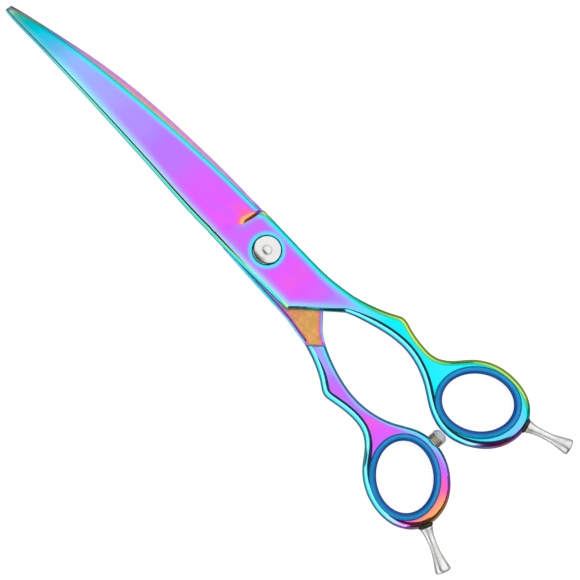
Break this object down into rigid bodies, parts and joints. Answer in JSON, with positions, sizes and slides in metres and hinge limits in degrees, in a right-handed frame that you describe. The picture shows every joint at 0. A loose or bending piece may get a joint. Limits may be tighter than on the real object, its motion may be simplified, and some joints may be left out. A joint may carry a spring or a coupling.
{
  "type": "grooming shears",
  "caption": "Curved-blade grooming shears with a dial tension pivot, lined finger rings, waisted finger rests and a ring bumper.",
  "frame": {"origin": "pivot axis, in the plane of the rear blade's outer face, where the closed shears rest", "axes": "+X towards the blade tips, +Z along the pivot towards the tension dial, +Y to the side away from the front lever's ring"},
  "size_m": [0.218, 0.059, 0.0069],
  "materials": {
    "iridescent_steel": "polished",
    "blue_silicone": "gloss",
    "rest_nickel": "satin",
    "black_rubber": "matte",
    "sleeve_steel": "satin",
    "clear_polymer": "gloss",
    "bolt_steel": "polished",
    "thrust_polymer": "satin",
    "bush_brass": "satin",
    "spring_steel": "satin",
    "dial_chrome": "polished"
  },
  "bodies": {
    "rear_lever": {"rear_blade": "iridescent_steel", "pivot_bolt": "bolt_steel", "thrust_washer": "thrust_polymer", "click_spring": "spring_steel", "rear_ring_insert": "blue_silicone", "rear_finger_rest": "rest_nickel", "rear_rest_washer": "black_rubber", "bumper_screw": "sleeve_steel", "bumper_cap": "clear_polymer"},
    "front_lever": {"front_blade": "iridescent_steel", "pivot_bush": "bush_brass", "front_ring_insert": "blue_silicone", "front_finger_rest": "rest_nickel", "front_rest_washer": "black_rubber"},
    "dial": {"tension_dial": "dial_chrome"}
  },
  "joints": [
    {"name": "pivot", "type": "hinge", "parent": "rear_lever", "child": "front_lever", "pos_m": [0, 0, 0.003], "axis": [0, 0, 1], "range_deg": [0, 75]},
    {"name": "dial_turn", "type": "hinge", "parent": "rear_lever", "child": "dial", "pos_m": [0, 0, 0.006], "axis": [0, 0, 1], "range_deg": [-90, 90]}
  ]
}
